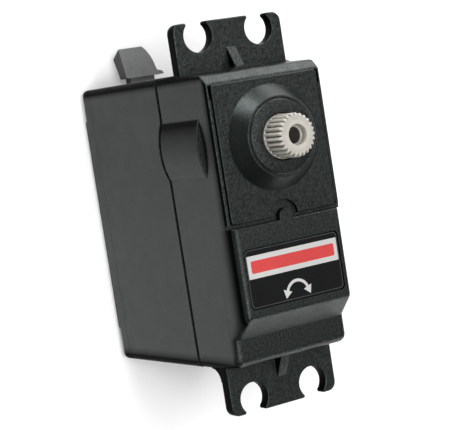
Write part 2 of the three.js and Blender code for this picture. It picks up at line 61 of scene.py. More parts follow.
# Sizes taken from the frame
COVER_HIGH = cad("bottom_cover")[1]
LOWER_HIGH = cad("lower_case")[1]
UPPER_LOW, UPPER_HIGH = cad("upper_case")
LABEL_LOW, LABEL_HIGH = cad("label_plate")
GEAR_LOW, GEAR_HIGH = cad("output_gear")
HALF_X = COVER_HIGH.x
HALF_Y = COVER_HIGH.y
BULGE_RADIUS = UPPER_HIGH.y
OUTPUT_X = (GEAR_LOW.x + GEAR_HIGH.x) / 2
EAR_HALF_X = UPPER_HIGH.x
BOSS_TOP = UPPER_HIGH.z
SPLINE_TOP = GEAR_HIGH.z
SEAM_LOW = LOWER_HIGH.z
SEAM_HIGH = UPPER_LOW.z

# Case
WALL = 1.2
CASE_CORNER = 0.9
EDGE_RADIUS = 0.8
DRAFT_Z = 28.2  # where the end walls start to lean in
LIP = 0.5
LIP_SETBACK = 0.45
ROUND_EDGE = 0.06
INSIDE = 30  # a height inside the gear room, where cuts from above end
ABOVE = 40  # a height over the plate, where they start

# Bottom cover and its screws
COVER_BASE = 1.2
COVER_SEAM = 3.2
PANEL_X = 16
PANEL_Y = 9
HOLLOW_X = 14.2
HOLLOW_Y = 6.9
SCREW_X = 17.9
SCREW_Y = 7
SCREW_SEAT = 2.42
HEAD_HOLE = 1.75
SHANK_HOLE = 0.95
HEAD_RADIUS = 1.5
SHANK_RADIUS = 0.82
CROSS_SLOT = (0.95, 0.2)

# Upper case: the rim around the raised plate, the land at the label end, the label box
RIM_TOP = 35.65
RIM_END = 0.38
RIM_STEP = 0.35
BLOCK_END = 1.0
PLATE_TOP = 35.88
PLATE_X = (-18.4, 0.45)
PLATE_Y = 8.62
LAND = 33
LAND_RADIUS = 1.1
BOX_FOOT = 33.3  # where the label box's sides start to round over
FRAME_TOP = 36.28
FRAME_X = (1.0, 13.3)
RECESS_X = (3.9, 12.15)
RECESS_Y = 7.85
TONGUE_X = 0.6
TONGUE_RADIUS = 1.15
NOTCH_RADIUS = 2.25
BORE_RADIUS = 4.25
BOSS_BORE = 3.1

# Bulges around the output gear
BULGE_X = (-14.3, -6.1)
BULGE_TOP = 32.7
END_BULGE_HALF_ANGLE = 22
FOOT_LOW = 21.35
SLOT_HALF = 3.95
SLOT_RISE = 0.95

# Ears
EAR_Z = (27.2, 28.95)
EAR_ROOT = 19.3
EAR_HALF_Y = 8.9
EAR_CORNER = 1.3
SLOT_X = 25.25
SLOT_Y = 5
SLOT_RADIUS = 2.23
SLOT_MOUTH = 1.6
MOUTH_CORNER = 0.25
RIB_HALF = 0.78
WEB_RADIUS = 1.9

# Label print
LABEL_GAP = 0.2
LABEL_RIM = 0.13
BAND = ((4.9, 8.0), (-7.45, 7.45))
BAR = ((5.6, 7.3), (-6.9, 6.9))
PRINT_DEPTH = 0.02
PRINT_RISE = 0.015
SIGN_CENTRE = Vector((11.2, 0))
SIGN_RADIUS = 1.75
SIGN_LINE = 0.2
SIGN_ENDS = (110, 250)

# Output gear and spline
TEETH = 25
SPLINE_RADIUS = 2.97
ROOT_RADIUS = 2.52
TOOTH_STEPS = 8
WHEEL_TEETH = 42
WHEEL_MODULE = 0.4
WHEEL_Z = (29.3, 31.8)

# Strain relief
BOOT_Y = (-3.48, 1.98)
BOOT_ROOT = -21.2

# Where painted shade darkens the case's walls and dims their reflection
RIM_FADE = (33.2, 35.3)
RIM_LIMIT = (35.75, 35.65)
CORNER_FADE = (18.3, 19.5)
SLOW_FADE = (4, -18)


# ---- Mesh helpers ----


def rounded(corners, steps=6):
    """An outline through corners (x, y, radius), each turned by an arc of that radius."""
    outline = []
    count = len(corners)
    for i, (x, y, radius) in enumerate(corners):
        here = Vector((x, y))
        if not radius:
            outline.append(here)
            continue
        back = (Vector(corners[i - 1][:2]) - here).normalized()
        ahead = (Vector(corners[(i + 1) % count][:2]) - here).normalized()
        half = back.angle(ahead) / 2
        centre = here + (back + ahead).normalized() * radius / math.sin(half)
        start = here + back * radius / math.tan(half) - centre
        sweep = math.pi - 2 * half
        if back.x * ahead.y - back.y * ahead.x > 0:
            sweep = -sweep
        for step in range(steps + 1):
            outline.append(centre + Matrix.Rotation(sweep * step / steps, 2) @ start)
    return outline


def arc(centre, radius, start, end, steps):
    """Points on an arc, angles in degrees, ends included."""
    points = []
    for step in range(steps + 1):
        angle = math.radians(start + (end - start) * step / steps)
        points.append(Vector(centre) + radius * Vector((math.cos(angle), math.sin(angle))))
    return points


def rectangle(x, y, radius, steps=6):
    """A rectangle between two x and two y, its corners rounded."""
    corners = [(x[0], y[0]), (x[1], y[0]), (x[1], y[1]), (x[0], y[1])]
    return rounded([(a, b, radius) for a, b in corners], steps)


def circle(radius, centre=(0, 0), steps=64):
    return arc(centre, radius, 0, 360, steps)[:-1]


def new_object(name, mesh):
    piece = bpy.data.objects.new(name, mesh)
    bpy.context.scene.collection.objects.link(piece)
    return piece


def object_from(name, bm):
    """A linked object of the bmesh, whose coordinates are in millimetres."""
    bmesh.ops.recalc_face_normals(bm, faces=bm.faces)
    bm.transform(Matrix.Scale(MM, 4))
    mesh = bpy.data.meshes.new(name)
    bm.to_mesh(mesh)
    bm.free()
    return new_object(name, mesh)


def prism_mesh(outline, span, axis="Z"):
    """Extrudes an outline over span: in XY along Z, in XZ along Y, or in YZ along X."""
    bm = bmesh.new()
    ends = []
    for height in span:
        at = "XYZ".index(axis)
        places = [(*p[:at], height, *p[at:]) for p in (tuple(point) for point in outline)]
        ends.append([bm.verts.new(place) for place in places])
    bm.faces.new(ends[0])
    bm.faces.new(reversed(ends[1]))
    count = len(outline)
    for i in range(count):
        j = (i + 1) % count
        bm.faces.new((ends[0][i], ends[1][i], ends[1][j], ends[0][j]))
    bmesh.ops.recalc_face_normals(bm, faces=bm.faces)
    return bm


def prism(name, outline, span, axis="Z"):
    """An object of the outline extruded over span."""
    return object_from(name, prism_mesh(outline, span, axis))


def lathe_mesh(profile, centre=(0, 0), steps=96):
    """Turns a profile of (radius, z) about a vertical axis; radius 0 closes an end."""
    bm = bmesh.new()
    rings = []
    for radius, z in profile:
        if radius < 1e-6:
            rings.append([bm.verts.new((*centre, z))])
            continue
        rings.append([bm.verts.new((*p, z)) for p in circle(radius, centre, steps)])
    for low, high in zip(rings, rings[1:]):
        for i in range(steps):
            j = (i + 1) % steps
            corners = [low[i % len(low)], low[j % len(low)], high[j % len(high)], high[i % len(high)]]
            bm.faces.new(dict.fromkeys(corners))
    if profile[0] == profile[-1]:
        bmesh.ops.remove_doubles(bm, verts=bm.verts, dist=1e-6)
    bmesh.ops.recalc_face_normals(bm, faces=bm.faces)
    return bm


def turned(name, profile, steps):
    """An object turned about the output shaft's axis."""
    return object_from(name, lathe_mesh(profile, (OUTPUT_X, 0), steps))


def soften(bm, width, chosen, segments=3):
    """Rounds the edges that chosen(edge) picks."""
    edges = [e for e in bm.edges if len(e.link_faces) == 2 and chosen(e)]
    bmesh.ops.bevel(
        bm, geom=edges, offset=width, segments=segments, profile=0.5, affect="EDGES", clamp_overlap=True
    )
    return bm


def sharp(edge, angle=30):
    return edge.calc_face_angle(0) > math.radians(angle)


def flat_at(z):
    """Picks the sharp edges that lie in a horizontal plane."""
    return lambda e: sharp(e) and all(abs(v.co.z - z) < 1e-3 for v in e.verts)


def settle(piece):
    """Makes the modifiers' result the piece's own mesh."""
    graph = bpy.context.evaluated_depsgraph_get()
    mesh = bpy.data.meshes.new_from_object(piece.evaluated_get(graph))
    piece.modifiers.clear()
    old = piece.data
    piece.data = mesh
    mesh.name = piece.name
    bpy.data.meshes.remove(old)
    return piece


def combine(piece, others, operation="DIFFERENCE"):
    """Cuts the other objects from the piece, or joins them to it, and removes them."""
    for other in others:
        step = piece.modifiers.new("combine", "BOOLEAN")
        step.operation = operation
        step.object = other
        step.solver = "EXACT"
    settle(piece)
    for other in others:
        bpy.data.objects.remove(other)
    return piece


def edge_round(piece, width, angle=35, segments=2):
    """Rounds what a cut left sharp."""
    step = piece.modifiers.new("edge", "BEVEL")
    step.width = width * MM
    step.segments = segments
    step.limit_method = "ANGLE"
    step.angle_limit = math.radians(angle)
    step.use_clamp_overlap = True
    step.miter_outer = "MITER_ARC"
    return settle(piece)


def shade(piece):
    """Smooth shading, broken at sharp edges."""
    mesh = piece.data
    for polygon in mesh.polygons:
        polygon.use_smooth = True
    mesh.set_sharp_from_angle(angle=math.radians(SMOOTH_ANGLE))
    weighted = piece.modifiers.new("normals", "WEIGHTED_NORMAL")
    weighted.keep_sharp = True
    weighted.weight = 60
    return piece


def finish_piece(piece, material, body, slot, *nodes):
    shade(piece)
    piece.data.materials.clear()
    piece.data.materials.append(material)
    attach(piece, body)
    if nodes:
        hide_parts(*nodes)
    return piece


def case_piece(piece, node="upper_case"):
    return finish_piece(piece, CASE, "case", "case_plastic", node)


# ---- Materials ----


def scaled(colour, factor):
    return [part * factor for part in colour]


class Nodes:
    """A material's node tree, with short calls to add and join nodes."""

    def __init__(self, name):
        self.material = bpy.data.materials.new(name)
        self.material.use_nodes = True
        self.tree = self.material.node_tree
        self.tree.nodes.clear()
        self.shader = self.add("ShaderNodeBsdfPrincipled")
        output = self.add("ShaderNodeOutputMaterial")
        self.link(self.shader, "BSDF", output, "Surface")
        self.coordinates = self.add("ShaderNodeTexCoord")

    def add(self, kind, **values):
        node = self.tree.nodes.new(kind)
        for key, value in values.items():
            setattr(node, key, value)
        return node

    def link(self, source, output, target, socket):
        self.tree.links.new(source.outputs[output], target.inputs[socket])

    def noise(self, size, detail=2.0, roughness=0.5, stretch=(1, 1, 1)):
        """Noise whose grains are about size millimetres."""
        mapping = self.add("ShaderNodeMapping")
        mapping.inputs["Scale"].default_value = [s / (size * MM) for s in stretch]
        self.link(self.coordinates, "Object", mapping, "Vector")
        noise = self.add("ShaderNodeTexNoise")
        noise.inputs["Scale"].default_value = 1
        noise.inputs["Detail"].default_value = detail
        noise.inputs["Roughness"].default_value = roughness
        self.link(mapping, "Vector", noise, "Vector")
        return noise

    def spread(self, source, low, high, output="Fac", of=(0.3, 0.7)):
        """Maps a value onto the range low to high."""
        node = self.add("ShaderNodeMapRange")
        node.inputs["From Min"].default_value = of[0]
        node.inputs["From Max"].default_value = of[1]
        node.inputs["To Min"].default_value = low
        node.inputs["To Max"].default_value = high
        self.link(source, output, node, "Value")
        return node

    def blend(self, factor, output, first, second):
        """Mixes two colours by a value."""
        node = self.add("ShaderNodeMix", data_type="RGBA")
        node.inputs["A"].default_value = (*first, 1)
        node.inputs["B"].default_value = (*second, 1)
        self.link(factor, output, node, "Factor")
        return node

    def toward(self, colour, target, share):
        """Takes a colour node's result toward a plain colour by a (node, output) share."""
        node = self.add("ShaderNodeMix", data_type="RGBA")
        node.inputs["B"].default_value = (*target, 1)
        self.link(colour, "Result", node, "A")
        self.link(*share, node, "Factor")
        return node

    def edge_wear(self, reach, gain):
        """Up to gain along edges, 0 on flats: how far a rounded normal leans from the true one."""
        bevel = self.add("ShaderNodeBevel", samples=4)
        bevel.inputs["Radius"].default_value = reach * MM
        geometry = self.add("ShaderNodeNewGeometry")
        dot = self.add("ShaderNodeVectorMath", operation="DOT_PRODUCT")
        self.link(bevel, "Normal", dot, 0)
        self.link(geometry, "Normal", dot, 1)
        return self.spread(dot, gain, 0, "Value", (0.75, 0.995))

    def math(self, operation, *values):
        """A math node of numbers and (node, output) pairs."""
        node = self.add("ShaderNodeMath", operation=operation)
        for socket, value in enumerate(values):
            if isinstance(value, tuple):
                self.link(*value, node, socket)
            else:
                node.inputs[socket].default_value = value
        return node, "Value"

    def product(self, first, *others):
        for other in others:
            first = self.math("MULTIPLY", first, other)
        return first

    def split(self, source, output):
        """A node whose outputs are a vector's X, Y and Z."""
        node = self.add("ShaderNodeSeparateXYZ")
        self.link(source, output, node, "Vector")
        return node

    def ramp(self, value, start, end):
        """0 to 1 as the value goes from start to end."""
        return self.spread(value[0], 0, 1, value[1], (start, end)), "Result"

    def reach(self, value, start, end):
        """0 to 1 as a length goes from start to end millimetres."""
        return self.ramp(value, start * MM, end * MM)

    def bump(self, source, output, height, strength=1.0, onto=None):
        node = self.add("ShaderNodeBump")
        node.inputs["Distance"].default_value = height * MM
        node.inputs["Strength"].default_value = strength
        self.link(source, output, node, "Height")
        if onto:
            self.link(onto, "Normal", node, "Normal")
        return node


def painted_shade_mask(n):
    """Mask of painted shade, near 1 on the side walls by the rim, by the ends and on the bulges' output
    side, and rising slowly toward the output end.
    """
    place = n.split(n.coordinates, "Object")
    normal = n.split(n.add("ShaderNodeNewGeometry"), "Normal")
    sideways = n.math("ABSOLUTE", (normal, "Y"))
    steep = n.ramp((normal, "Z"), 0.6, 0.45)
    fade = n.math("POWER", n.reach((place, "Z"), *RIM_FADE), 1.6)
    below = n.reach((place, "Z"), *RIM_LIMIT)
    rolled = n.product(n.ramp((normal, "Z"), 0.95, 0.85), n.ramp(sideways, 0.15, 0.35))
    rim = n.product(fade, below, rolled)
    corner = n.product(steep, n.ramp(sideways, 0.05, 0.3))
    end = n.product(n.reach(n.math("ABSOLUTE", (place, "X")), *CORNER_FADE), corner)
    lean = n.ramp(n.product((normal, "X"), sideways), 0.3, -0.3)
    past_wall = n.reach(n.math("ABSOLUTE", (place, "Y")), HALF_Y + 0.01, HALF_Y + 0.03)
    flank = n.product(lean, past_wall)
    slow = n.product(n.reach((place, "X"), *SLOW_FADE), 0.35)
    sides = n.product(n.math("MAXIMUM", flank, slow), steep)
    return n.math("MAXIMUM", n.math("MAXIMUM", rim, end), sides)


def moulded_colour(n, dark, light, painted_wall_shade):
    """Clouded colour, paler on worn edges and nearly black with painted shade where the mask marks the
    walls.
    """
    colour = n.blend(n.spread(n.noise(7, 3), 0, 1), "Result", dark, light)
    worn = n.toward(colour, scaled(light, 2.1), (n.edge_wear(0.16, 0.35), "Result"))
    # painted shade: the colour goes toward near black under the wall mask
    shaded = n.toward(worn, scaled(dark, 0.3), painted_wall_shade)
    n.link(shaded, "Result", n.shader, "Base Color")


def moulded_relief(n, front, fine, waves, grain):
    """Grain on faces square to the shaft, over the slow swell of every moulded face."""
    depth = n.product(front, (fine, "Fac"))
    swell = n.bump(waves, "Fac", 0.01, 0.25)
    n.link(n.bump(*depth, grain, 0.7, swell), "Normal", n.shader, "Normal")


def moulded_gloss(n, front, fine, painted_wall_shade, gloss):
    """Reflection that speckles with the grain and is dimmed under the painted-shade mask, as a painted
    dark reflection.
    """
    # painted dark reflection: the specular level drops where the wall mask is high
    level = n.spread(painted_wall_shade[0], gloss, gloss * 0.03, painted_wall_shade[1], (0, 1))
    speck = n.product(front, n.math("SUBTRACT", (fine, "Fac"), 0.5))
    speckled = n.product((level, "Result"), n.math("MULTIPLY_ADD", speck, 3.0, 1.0))
    n.link(*speckled, n.shader, "Specular IOR Level")
    n.shader.inputs["Specular Tint"].default_value = (0.88, 1, 0.97, 1)


def moulded_plastic(name, dark, light, roughness, grain, gloss=0.5):
    """Moulded plastic: fine grain on faces square to the shaft, smoother on the side walls, with
    painted shade from the wall mask.
    """
    n = Nodes(name)
    fine = n.noise(0.3, 2, 0.6)
    waves = n.noise(2.2, 2)
    # the mask of painted shade on the walls
    painted_wall_shade = painted_shade_mask(n)
    moulded_colour(n, dark, light, painted_wall_shade)
    facing = n.split(n.add("ShaderNodeNewGeometry"), "True Normal")
    front = n.spread(facing, 0.12, 1, "Z", (0.55, 0.9)), "Result"
    smooth = n.spread(waves, roughness - 0.04, roughness + 0.05), "Result"
    n.link(*n.math("MULTIPLY_ADD", front, 0.12, smooth), n.shader, "Roughness")
    moulded_relief(n, front, fine, waves, grain)
    moulded_gloss(n, front, fine, painted_wall_shade, gloss)
    return n.material


def rubber(name, dark, light):
    """Moulded rubber, with painted shade on the faces along the case."""
    n = Nodes(name)
    fine = n.noise(0.12, 3, 0.65)
    normal = n.split(n.add("ShaderNodeNewGeometry"), "Normal")
    colour = n.blend(n.spread(n.noise(1.4, 3), 0, 1), "Result", dark, light)
    # painted shade: faces turned along Y go darker
    flank = n.toward(colour, scaled(dark, 0.35), n.ramp(n.math("ABSOLUTE", (normal, "Y")), 0.4, 0.8))
    n.link(flank, "Result", n.shader, "Base Color")
    n.link(n.spread(fine, 0.62, 0.8), "Result", n.shader, "Roughness")
    n.link(n.bump(fine, "Fac", 0.03, 0.6), "Normal", n.shader, "Normal")
    return n.material


def spline_shade(n):
    """Share of painted shade on the output gear: the bore, the tooth grooves and, a little, the sides.
    """
    place = n.split(n.coordinates, "Object")
    across = n.math("ADD", (place, "X"), -OUTPUT_X * MM)
    squares = n.math("ADD", n.math("POWER", across, 2.0), n.math("POWER", (place, "Y"), 2.0))
    radius = n.math("SQRT", squares)
    bore = n.product(n.reach(radius, 1.25, 1.1), n.reach((place, "Z"), 41.2, 40.6))
    groove = n.product(n.reach(radius, 2.88, 2.6), n.reach((place, "Z"), 41.8, 41.3), 0.6)
    spline = n.product(groove, n.reach(radius, 1.9, 2.0))
    normal = n.split(n.add("ShaderNodeNewGeometry"), "Normal")
    side = n.product(n.ramp((normal, "Z"), 0.5, 0.1), 0.22)
    return n.math("MAXIMUM", bore, n.math("ADD", spline, side))


def nylon(name, base, shade_of):
    """Off-white moulded nylon with a little light passing through it, and painted shade in the bore,
    the grooves and on the sides.
    """
    n = Nodes(name)
    colour = n.blend(n.spread(n.noise(1.1, 3), 0, 1), "Result", base, shade_of)
    # painted shade: the colour goes darker where spline_shade is high
    painted_nylon_shade = n.toward(colour, scaled(shade_of, 0.2), spline_shade(n))
    n.link(painted_nylon_shade, "Result", n.shader, "Base Color")
    n.link(n.spread(n.noise(0.5, 2), 0.36, 0.5), "Result", n.shader, "Roughness")
    n.link(n.bump(n.noise(0.2, 2), "Fac", 0.008, 0.4), "Normal", n.shader, "Normal")
    n.shader.inputs["Subsurface Weight"].default_value = 0.35
    n.shader.inputs["Subsurface Radius"].default_value = (1.0, 0.8, 0.6)
    n.shader.inputs["Subsurface Scale"].default_value = 0.5 * MM
    return n.material


def film(name, base, roughness, tint=1.35):
    """Printed label film: nearly flat gloss with faint ripples."""
    n = Nodes(name)
    colour = n.blend(n.spread(n.noise(3, 2), 0, 1), "Result", base, scaled(base, tint))
    n.link(colour, "Result", n.shader, "Base Color")
    rough = n.spread(n.noise(1.5, 3), roughness - 0.04, roughness + 0.06)
    n.link(rough, "Result", n.shader, "Roughness")
    n.link(n.bump(n.noise(1.8, 1), "Fac", 0.006, 0.4), "Normal", n.shader, "Normal")
    n.shader.inputs["Specular IOR Level"].default_value = 0.14
    return n.material


def metal(name, base, roughness, stretch=(1, 1, 0.05), grain=0.08):
    """Turned or drawn metal, its fine lines running along the stretched axis."""
    n = Nodes(name)
    lines = n.noise(grain, 3, 0.6, stretch)
    stain = n.spread(n.noise(2.5, 3), 0, 1)
    n.link(n.blend(stain, "Result", base, scaled(base, 0.8)), "Result", n.shader, "Base Color")
    n.link(n.spread(lines, roughness - 0.07, roughness + 0.1), "Result", n.shader, "Roughness")
    n.link(n.bump(lines, "Fac", 0.004, 0.5), "Normal", n.shader, "Normal")
    n.shader.inputs["Metallic"].default_value = 1
    return n.material


def winding(name, base):
    """Enamelled wire, seen as fine parallel turns."""
    n = Nodes(name)
    wave = n.add("ShaderNodeTexWave", bands_direction="Z")
    wave.inputs["Scale"].default_value = 1 / (0.7 * MM)
    wave.inputs["Distortion"].default_value = 0.4
    n.link(n.coordinates, "Object", wave, "Vector")
    n.link(n.blend(wave, "Fac", scaled(base, 0.5), base), "Result", n.shader, "Base Color")
    n.link(n.bump(wave, "Fac", 0.05, 0.8), "Normal", n.shader, "Normal")
    n.shader.inputs["Metallic"].default_value = 0.85
    n.shader.inputs["Roughness"].default_value = 0.32
    return n.material


def solder_mask(name, base):
    """Circuit board green with faint copper tracks under the mask."""
    n = Nodes(name)
    tracks = n.add("ShaderNodeTexBrick", offset=0.5)
    tracks.inputs["Scale"].default_value = 1 / (2.4 * MM)
    tracks.inputs["Mortar Size"].default_value = 0.04
    tracks.inputs["Color1"].default_value = (*base, 1)
    tracks.inputs["Color2"].default_value = (*scaled(base, 0.85), 1)
    tracks.inputs["Mortar"].default_value = (*scaled(base, 1.8), 1)
    n.link(n.coordinates, "Object", tracks, "Vector")
    n.link(tracks, "Color", n.shader, "Base Color")
    n.link(n.spread(n.noise(0.8, 2), 0.25, 0.4), "Result", n.shader, "Roughness")
    n.link(n.bump(tracks, "Fac", 0.02, 0.4), "Normal", n.shader, "Normal")
    return n.material


CASE = moulded_plastic(
    "case_plastic", (0.0045, 0.0052, 0.005), (0.0065, 0.0075, 0.0072), 0.34, 0.12, gloss=0.36
)
BOOT = rubber("boot_rubber", (0.085, 0.089, 0.087), (0.11, 0.114, 0.112))
NYLON = nylon("spline_nylon", (0.47, 0.45, 0.41), (0.41, 0.39, 0.35))
LABEL_BLACK = film("label_black", (0.003, 0.0033, 0.0035), 0.2)
# painted highlight: a lighter grey film for the ring along the label's edge
LABEL_EDGE_HIGHLIGHT = film("label_edge_highlight", (0.035, 0.036, 0.036), 0.3)
LABEL_WHITE = film("label_white", (0.46, 0.455, 0.45), 0.35, 1.05)
LABEL_RED = film("label_red", (0.48, 0.05, 0.05), 0.35, 1.1)
STEEL = metal("screw_steel", (0.42, 0.43, 0.44), 0.35)
CAN_STEEL = metal("can_steel", (0.55, 0.56, 0.58), 0.28)
LAMINATION = metal("lamination_steel", (0.28, 0.29, 0.31), 0.45, (0.1, 0.1, 1), 0.15)
BRASS = metal("brass", (0.7, 0.5, 0.22), 0.3)
COPPER = winding("copper_winding", (0.62, 0.27, 0.12))
RESIN = moulded_plastic("black_resin", (0.012, 0.012, 0.012), (0.02, 0.02, 0.02), 0.5, 0.02)
FERRITE = moulded_plastic("ferrite", (0.04, 0.038, 0.04), (0.06, 0.057, 0.06), 0.7, 0.03)
BOARD = solder_mask("board_green", (0.015, 0.12, 0.045))
WIRE = moulded_plastic("wire_red", (0.42, 0.02, 0.015), (0.5, 0.03, 0.02), 0.4, 0.0)


# ---- Bottom cover ----


def corner_places():
    """Where the case screws stand."""
    return [(x * SCREW_X, y * SCREW_Y) for x in (-1, 1) for y in (-1, 1)]


def bottom_cover():
    outline = rectangle((-HALF_X, HALF_X), (-HALF_Y, HALF_Y), CASE_CORNER)
    plate = prism_mesh(outline, (COVER_BASE, COVER_SEAM))
    soften(plate, 0.22, flat_at(COVER_BASE))
    soften(plate, 0.05, flat_at(COVER_SEAM))
    piece = object_from("bottom_cover_shell", plate)
    outline = rectangle((-PANEL_X, PANEL_X), (-PANEL_Y, PANEL_Y), 0.6)
    panel = prism_mesh(outline, (0, COVER_BASE + 0.5))
    soften(panel, 0.2, flat_at(0))
    combine(piece, [object_from("panel", panel)], "UNION")
    hollow = rectangle((-HOLLOW_X, HOLLOW_X), (-HOLLOW_Y, HOLLOW_Y), 0.5)
    cuts = [prism("hollow", hollow, (1.6, 6))]
    for place in corner_places():
        profile = [
            (0, -1),
            (HEAD_HOLE, -1),
            (HEAD_HOLE, SCREW_SEAT),
            (SHANK_HOLE, SCREW_SEAT),
            (SHANK_HOLE, 6),
            (0, 6),
        ]
        cuts.append(object_from("hole", lathe_mesh(profile, place, 40)))
    combine(piece, cuts)
    return case_piece(piece, "bottom_cover")


# ---- Bulges around the output gear ----


def bulge_outline(side, inset=0):
    """Plan of one side's bulge, reaching a little into the wall."""
    spans = [math.degrees(math.acos((x - OUTPUT_X) / BULGE_RADIUS)) for x in BULGE_X]
    inner = side * (HALF_Y - WALL)
    outline = arc((OUTPUT_X, 0), BULGE_RADIUS - inset, side * spans[1], side * spans[0], 24)
    return [(outline[0].x, inner), *outline, (outline[-1].x, inner)]


def end_bulge_outline():
    """Plan of the shallow bulge on the end wall."""
    half = END_BULGE_HALF_ANGLE
    outline = arc((OUTPUT_X, 0), BULGE_RADIUS, 180 - half, 180 + half, 16)
    x = OUTPUT_X - BULGE_RADIUS + 1.5
    return [(x, outline[0].y), *outline, (x, outline[-1].y)]


def lower_bulge(side):
    """The bulge's foot, cut back steeply to the wall below the seam."""
    mesh = prism_mesh(bulge_outline(side), (FOOT_LOW, SEAM_LOW - LIP))
    slope = (HALF_Y - 0.3) / BULGE_RADIUS
    for vertex in mesh.verts:
        if vertex.co.z < FOOT_LOW + 0.1:
            vertex.co.y *= slope
            vertex.co.x = OUTPUT_X + (vertex.co.x - OUTPUT_X) * slope
    soften(mesh, ROUND_EDGE, flat_at(SEAM_LOW - LIP), 2)
    return object_from("bulge_foot", mesh)


# ---- Lower case ----


def seam_lips():
    """The set-back lip that shows as a groove between the lower and the upper case."""
    x, y = HALF_X - LIP_SETBACK, HALF_Y - LIP_SETBACK
    outlines = [rectangle((-x, x), (-y, y), CASE_CORNER)]
    outlines += [bulge_outline(side, LIP_SETBACK) for side in (-1, 1)]
    return [prism("lip", outline, (SEAM_LOW - LIP - 0.2, SEAM_LOW)) for outline in outlines]


def lower_case():
    top = SEAM_LOW - LIP
    outline = rectangle((-HALF_X, HALF_X), (-HALF_Y, HALF_Y), CASE_CORNER)
    shell = prism_mesh(outline, (COVER_SEAM, top))
    soften(shell, ROUND_EDGE, flat_at(top), 2)
    soften(shell, 0.04, flat_at(COVER_SEAM), 2)
    piece = object_from("lower_case_shell", shell)
    combine(piece, [*(lower_bulge(side) for side in (-1, 1)), *seam_lips()], "UNION")
    inner = ((-HALF_X + WALL, HALF_X - WALL), (-HALF_Y + WALL, HALF_Y - WALL))
    cuts = [prism("hollow", rectangle(*inner, 0.5), (0, SEAM_LOW - 1.5))]
    for x, radius in ((OUTPUT_X, 3.5), (9.9, 3.1)):
        cuts.append(prism("hole", circle(radius, (x, 0), 48), (20, 25)))
    cuts.append(prism("notch", rectangle((-22, -18), (-2.9, 1.5), 0.3), (2, 4.85)))
    combine(piece, cuts)
    return case_piece(piece, "lower_case")


# ---- Upper case ----


def relief_cut():
    """The narrow groove between the rim and the plate, wider in the corners at the output end."""
    cuts = [prism("pocket", circle(NOTCH_RADIUS, (TONGUE_X, 0), 48), (RIM_TOP - RIM_STEP, ABOVE))]
    for side in (-1, 1):
        for x, y, depth in (((-18.5, 0.7), (8.48, 8.8), 0.3), ((-18.4, -16.5), (8.57, 9.0), 1.0)):
            y = sorted(side * edge for edge in y)
            cuts.append(prism("groove", rectangle(x, y, 0.12, 3), (RIM_TOP - depth, ABOVE)))
    return cuts


def outside(edge):
    """A sharp edge away from the plane where the two upper blocks meet."""
    return sharp(edge, 20) and not all(0 < v.co.x < BLOCK_END + 0.1 for v in edge.verts)


def rounded_block(profile, radius):
    """An upper block with broadly rounded edges, nearly sharp along the seam."""
    block = prism_mesh(profile, (-HALF_Y, HALF_Y), "Y")
    at_seam = flat_at(SEAM_HIGH)
    soften(block, radius, lambda e: outside(e) and not at_seam(e), 6)
    soften(block, 0.1, lambda e: outside(e) and at_seam(e), 2)
    return object_from("upper_case_shell", block)


def upper_block():
    """The body up to the rim around the raised plate, and the lower land at the label end."""
    rim = [
        (-HALF_X, SEAM_HIGH),
        (BLOCK_END, SEAM_HIGH),
        (BLOCK_END, RIM_TOP - RIM_STEP),
        (RIM_END, RIM_TOP - RIM_STEP),
        (RIM_END, RIM_TOP),
        (-18.55, RIM_TOP),
        (-19.8, 34.45),
        (-20.0, 29.6),
        (-HALF_X, DRAFT_Z),
    ]
    land = [(0.5, SEAM_HIGH), (HALF_X, SEAM_HIGH), (HALF_X, DRAFT_Z), (19.9, LAND), (0.5, LAND)]
    body = rounded_block(rim, EDGE_RADIUS)
    low_end = rounded_block(land, LAND_RADIUS)
    combine(body, relief_cut())
    return combine(body, [low_end], "UNION")


def box_section(share):
    """Half outline (y, z) across the label end: share 0 at the label box, 1 at the land."""
    wall = HALF_Y - 0.006
    box = [
        (wall, 33.2),
        (9.36, 34.2),
        (9.27, 34.8),
        (9.1, 35.3),
        (8.82, 35.75),
        (8.55, 36.08),
        (8.3, 36.24),
        (8.0, FRAME_TOP),
    ]
    radius = LAND_RADIUS + 0.15
    land = [(wall, LAND - radius)]
    for step in range(1, 8):
        a = math.pi / 2 * step / 7
        land.append((wall - radius * (1 - math.cos(a)), LAND - radius * (1 - math.sin(a))))
    half = [Vector(a).lerp(Vector(b), share) for a, b in zip(box, land)]
    side = [Vector((wall, 31)), *half]
    return [Vector((-p.x, p.y)) for p in side] + list(reversed(side))


def label_box():
    """The raised box that holds the label: broadly rounded sides, and a slope down to the land."""
    x0, x1 = FRAME_X
    places = [(x0 - 0.05, 0, 0.2), (x0, 0, 0.08), (x0 + 0.12, 0, 0)]
    places += [(x1 - 0.35, 0, 0), (x1 - 0.15, 0.012, 0), (x1 + 0.05, 0.043, 0), (x1 + 0.3, 0.104, 0)]
    places += [(16.6, 1.138, 0)]
    bm = bmesh.new()
    sections = []
    for x, share, drop in places:
        section = []
        for y, z in box_section(share):
            lift = max(0, z - BOX_FOOT) / (FRAME_TOP - BOX_FOOT)
            section.append(bm.verts.new((x, y, z - drop * lift)))
        sections.append(section)
    bm.faces.new(sections[0])
    bm.faces.new(reversed(sections[-1]))
    count = len(sections[0])
    for near, far in zip(sections, sections[1:]):
        for i in range(count):
            j = (i + 1) % count
            bm.faces.new((near[i], far[i], far[j], near[j]))
    return object_from("label_box", bm)


def upper_cavity():
    """Room for the gears."""
    under_land = LAND - 1.4
    under_box = 34.2
    profile = [
        (-18.7, 22),
        (18.6, 22),
        (18.6, under_land),
        (15.3, under_land),
        (12.6, under_box),
        (-18.4, under_box),
    ]
    return prism("cavity", profile, (-HALF_Y + WALL, HALF_Y - WALL), "Y")


